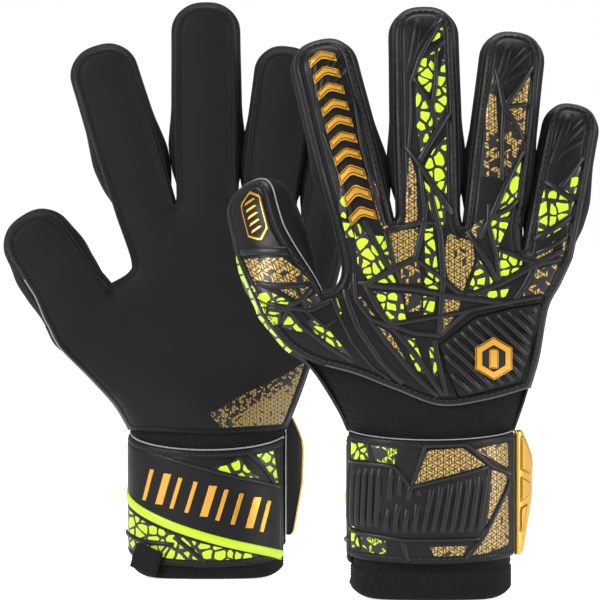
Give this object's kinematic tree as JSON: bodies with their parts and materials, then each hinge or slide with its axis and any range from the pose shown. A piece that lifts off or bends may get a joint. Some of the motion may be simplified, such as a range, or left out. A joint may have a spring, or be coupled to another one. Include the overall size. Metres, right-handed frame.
{
  "type": "goalkeeper gloves",
  "caption": "Pair of goalkeeper gloves with latex palms, embossed backhands, bending fingers and wrap-round wrist straps, standing open on their cuffs.",
  "frame": {"origin": "on the plane the cuffs stand on, under the middle of the pair's bounding box", "axes": "+X across the hands, from the thumbs to the little fingers; +Y from the right glove's back to the left glove's back; +Z from the cuffs to the fingertips"},
  "size_m": [0.279, 0.234, 0.2794],
  "materials": {
    "latex": "smooth matte black foam latex",
    "embossed_foam": "satin black foam film with raised ribs and lime and gold print",
    "stretch_gusset": "black stretch mesh",
    "knit_elastic": "black knitted elastic",
    "strap_rubber": "satin black moulded strap with lime and gold print",
    "hook_and_loop": "black hook-and-loop tape",
    "gold_rubber": "gold moulded rubber, slightly metallic",
    "fleece_lining": "dark grey fleece"
  },
  "bodies": {
    "left_hand": {"left_palm": "latex", "left_backhand": "embossed_foam", "left_palm_lining": "fleece_lining", "left_back_lining": "fleece_lining", "left_thumb_side_gusset": "stretch_gusset", "left_thumb_web": "stretch_gusset", "left_little_side_gusset": "stretch_gusset", "left_emblem": "gold_rubber", "left_wrist_bandage": "knit_elastic", "left_strap_base": "strap_rubber", "left_loop_patch": "hook_and_loop"},
    "left_thumb": {"left_thumb_palm": "latex", "left_thumb_back": "embossed_foam", "left_thumb_gusset": "stretch_gusset"},
    "left_index": {"left_index_palm": "latex", "left_index_back": "embossed_foam", "left_index_gusset": "stretch_gusset"},
    "left_middle": {"left_middle_palm": "latex", "left_middle_back": "embossed_foam", "left_middle_gusset": "stretch_gusset"},
    "left_ring": {"left_ring_palm": "latex", "left_ring_back": "embossed_foam", "left_ring_gusset": "stretch_gusset"},
    "left_pinky": {"left_pinky_palm": "latex", "left_pinky_back": "embossed_foam", "left_pinky_gusset": "stretch_gusset"},
    "left_flap": {"left_strap_flap": "strap_rubber", "left_hook_patch": "hook_and_loop"},
    "left_tab": {"left_pull_tab": "gold_rubber"},
    "left_loop": {"left_pull_loop": "strap_rubber"},
    "right_hand": {"right_palm": "latex", "right_backhand": "embossed_foam", "right_palm_lining": "fleece_lining", "right_back_lining": "fleece_lining", "right_thumb_side_gusset": "stretch_gusset", "right_thumb_web": "stretch_gusset", "right_little_side_gusset": "stretch_gusset", "right_emblem": "gold_rubber", "right_wrist_bandage": "knit_elastic", "right_strap_base": "strap_rubber", "right_loop_patch": "hook_and_loop"},
    "right_thumb": {"right_thumb_palm": "latex", "right_thumb_back": "embossed_foam", "right_thumb_gusset": "stretch_gusset"},
    "right_index": {"right_index_palm": "latex", "right_index_back": "embossed_foam", "right_index_gusset": "stretch_gusset"},
    "right_middle": {"right_middle_palm": "latex", "right_middle_back": "embossed_foam", "right_middle_gusset": "stretch_gusset"},
    "right_ring": {"right_ring_palm": "latex", "right_ring_back": "embossed_foam", "right_ring_gusset": "stretch_gusset"},
    "right_pinky": {"right_pinky_palm": "latex", "right_pinky_back": "embossed_foam", "right_pinky_gusset": "stretch_gusset"},
    "right_flap": {"right_strap_flap": "strap_rubber", "right_hook_patch": "hook_and_loop"},
    "right_tab": {"right_pull_tab": "gold_rubber"},
    "right_loop": {"right_pull_loop": "strap_rubber"}
  },
  "joints": [
    {"name": "left_thumb_bend", "type": "hinge", "parent": "left_hand", "child": "left_thumb", "pos_m": [-0.10347, 0.07376, 0.1335], "axis": [0.8387, 0, 0.5446], "range_deg": [0, 50], "stiffness_Nm_per_rad": 0.08},
    {"name": "left_index_bend", "type": "hinge", "parent": "left_hand", "child": "left_index", "pos_m": [-0.07297, 0.07659, 0.1794], "axis": [0.9563, 0, 0.2924], "range_deg": [0, 75], "stiffness_Nm_per_rad": 0.08},
    {"name": "left_middle_bend", "type": "hinge", "parent": "left_hand", "child": "left_middle", "pos_m": [-0.04297, 0.0769, 0.1845], "axis": [1, 0, 0.0087], "range_deg": [0, 75], "stiffness_Nm_per_rad": 0.08},
    {"name": "left_ring_bend", "type": "hinge", "parent": "left_hand", "child": "left_ring", "pos_m": [-0.01337, 0.0765, 0.178], "axis": [0.9925, 0, -0.1219], "range_deg": [0, 75], "stiffness_Nm_per_rad": 0.08},
    {"name": "left_pinky_bend", "type": "hinge", "parent": "left_hand", "child": "left_pinky", "pos_m": [0.01283, 0.07587, 0.1678], "axis": [0.9763, 0, -0.2164], "range_deg": [0, 75], "stiffness_Nm_per_rad": 0.08},
    {"name": "left_strap_open", "type": "hinge", "parent": "left_hand", "child": "left_flap", "pos_m": [-0.08196, 0.09834, 0.045], "axis": [0, 0, 1], "range_deg": [0, 120]},
    {"name": "left_tab_lift", "type": "hinge", "parent": "left_flap", "child": "left_tab", "pos_m": [-0.00362, 0.09834, 0.048], "axis": [0, 0, 1], "range_deg": [0, 70]},
    {"name": "left_loop_swing", "type": "hinge", "parent": "left_hand", "child": "left_loop", "pos_m": [-0.07057, 0.06975, 0.015], "axis": [-0.8076, 0.4804, 0.342], "range_deg": [0, 80]},
    {"name": "right_thumb_bend", "type": "hinge", "parent": "right_hand", "child": "right_thumb", "pos_m": [-0.00207, -0.0685, 0.1355], "axis": [-0.9397, 0, -0.342], "range_deg": [0, 50], "stiffness_Nm_per_rad": 0.08},
    {"name": "right_index_bend", "type": "hinge", "parent": "right_hand", "child": "right_index", "pos_m": [0.03093, -0.07617, 0.1726], "axis": [-0.9694, 0, -0.2453], "range_deg": [0, 75], "stiffness_Nm_per_rad": 0.08},
    {"name": "right_middle_bend", "type": "hinge", "parent": "right_hand", "child": "right_middle", "pos_m": [0.06043, -0.07638, 0.176], "axis": [-0.9998, 0, -0.0209], "range_deg": [0, 75], "stiffness_Nm_per_rad": 0.08},
    {"name": "right_ring_bend", "type": "hinge", "parent": "right_hand", "child": "right_ring", "pos_m": [0.08993, -0.07601, 0.17], "axis": [-0.9925, 0, 0.1219], "range_deg": [0, 75], "stiffness_Nm_per_rad": 0.08},
    {"name": "right_pinky_bend", "type": "hinge", "parent": "right_hand", "child": "right_pinky", "pos_m": [0.11593, -0.07527, 0.158], "axis": [-0.9799, 0, 0.1994], "range_deg": [0, 75], "stiffness_Nm_per_rad": 0.08},
    {"name": "right_strap_open", "type": "hinge", "parent": "right_hand", "child": "right_flap", "pos_m": [0.02294, -0.09834, 0.045], "axis": [0, 0, -1], "range_deg": [0, 120]},
    {"name": "right_tab_lift", "type": "hinge", "parent": "right_flap", "child": "right_tab", "pos_m": [0.10128, -0.09834, 0.048], "axis": [0, 0, -1], "range_deg": [0, 70]},
    {"name": "right_loop_swing", "type": "hinge", "parent": "right_hand", "child": "right_loop", "pos_m": [0.03433, -0.06975, 0.015], "axis": [0.8076, 0.4804, -0.342], "range_deg": [0, 80]},
    {"name": "gloves_apart", "type": "slide", "parent": "left_hand", "child": "right_hand", "axis": [0, -1, 0], "range_m": [0, 0.1]}
  ]
}
